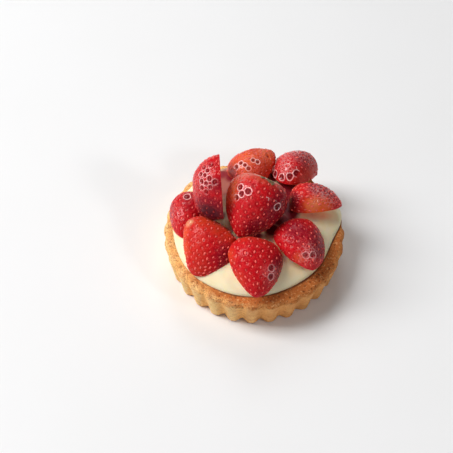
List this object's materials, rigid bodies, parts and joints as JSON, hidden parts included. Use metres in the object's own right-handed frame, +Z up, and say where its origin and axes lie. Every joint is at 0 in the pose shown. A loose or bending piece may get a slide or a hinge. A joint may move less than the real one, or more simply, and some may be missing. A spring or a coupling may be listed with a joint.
{
  "type": "strawberry tart",
  "caption": "Small round fluted pastry tart filled with a low mound of smooth custard cream and topped with glossy halved and whole strawberries.",
  "frame": {"origin": "on the table, under the middle of the pastry case", "axes": "+Z up, +X to the right and -Y towards the viewer of the tart's front, the side with the largest halved berry pointing outwards"},
  "size_m": [0.09, 0.09, 0.0605],
  "materials": {
    "pastry": "baked shortcrust pastry, golden and matt, with a fine open crumb and a browner rim",
    "cream": "smooth pale custard cream with a soft satin sheen",
    "strawberry": "ripe strawberry skin under a thin clear glaze, dimpled round small yellow seeds"
  },
  "bodies": {
    "root": {"pastry_case": "pastry", "cream": "cream", "berry_centre": "strawberry", "half_front": "strawberry", "half_front_left": "strawberry", "half_front_right": "strawberry", "half_right": "strawberry", "half_back_right": "strawberry", "half_back": "strawberry", "half_back_left": "strawberry", "half_left": "strawberry"}
  },
  "joints": []
}
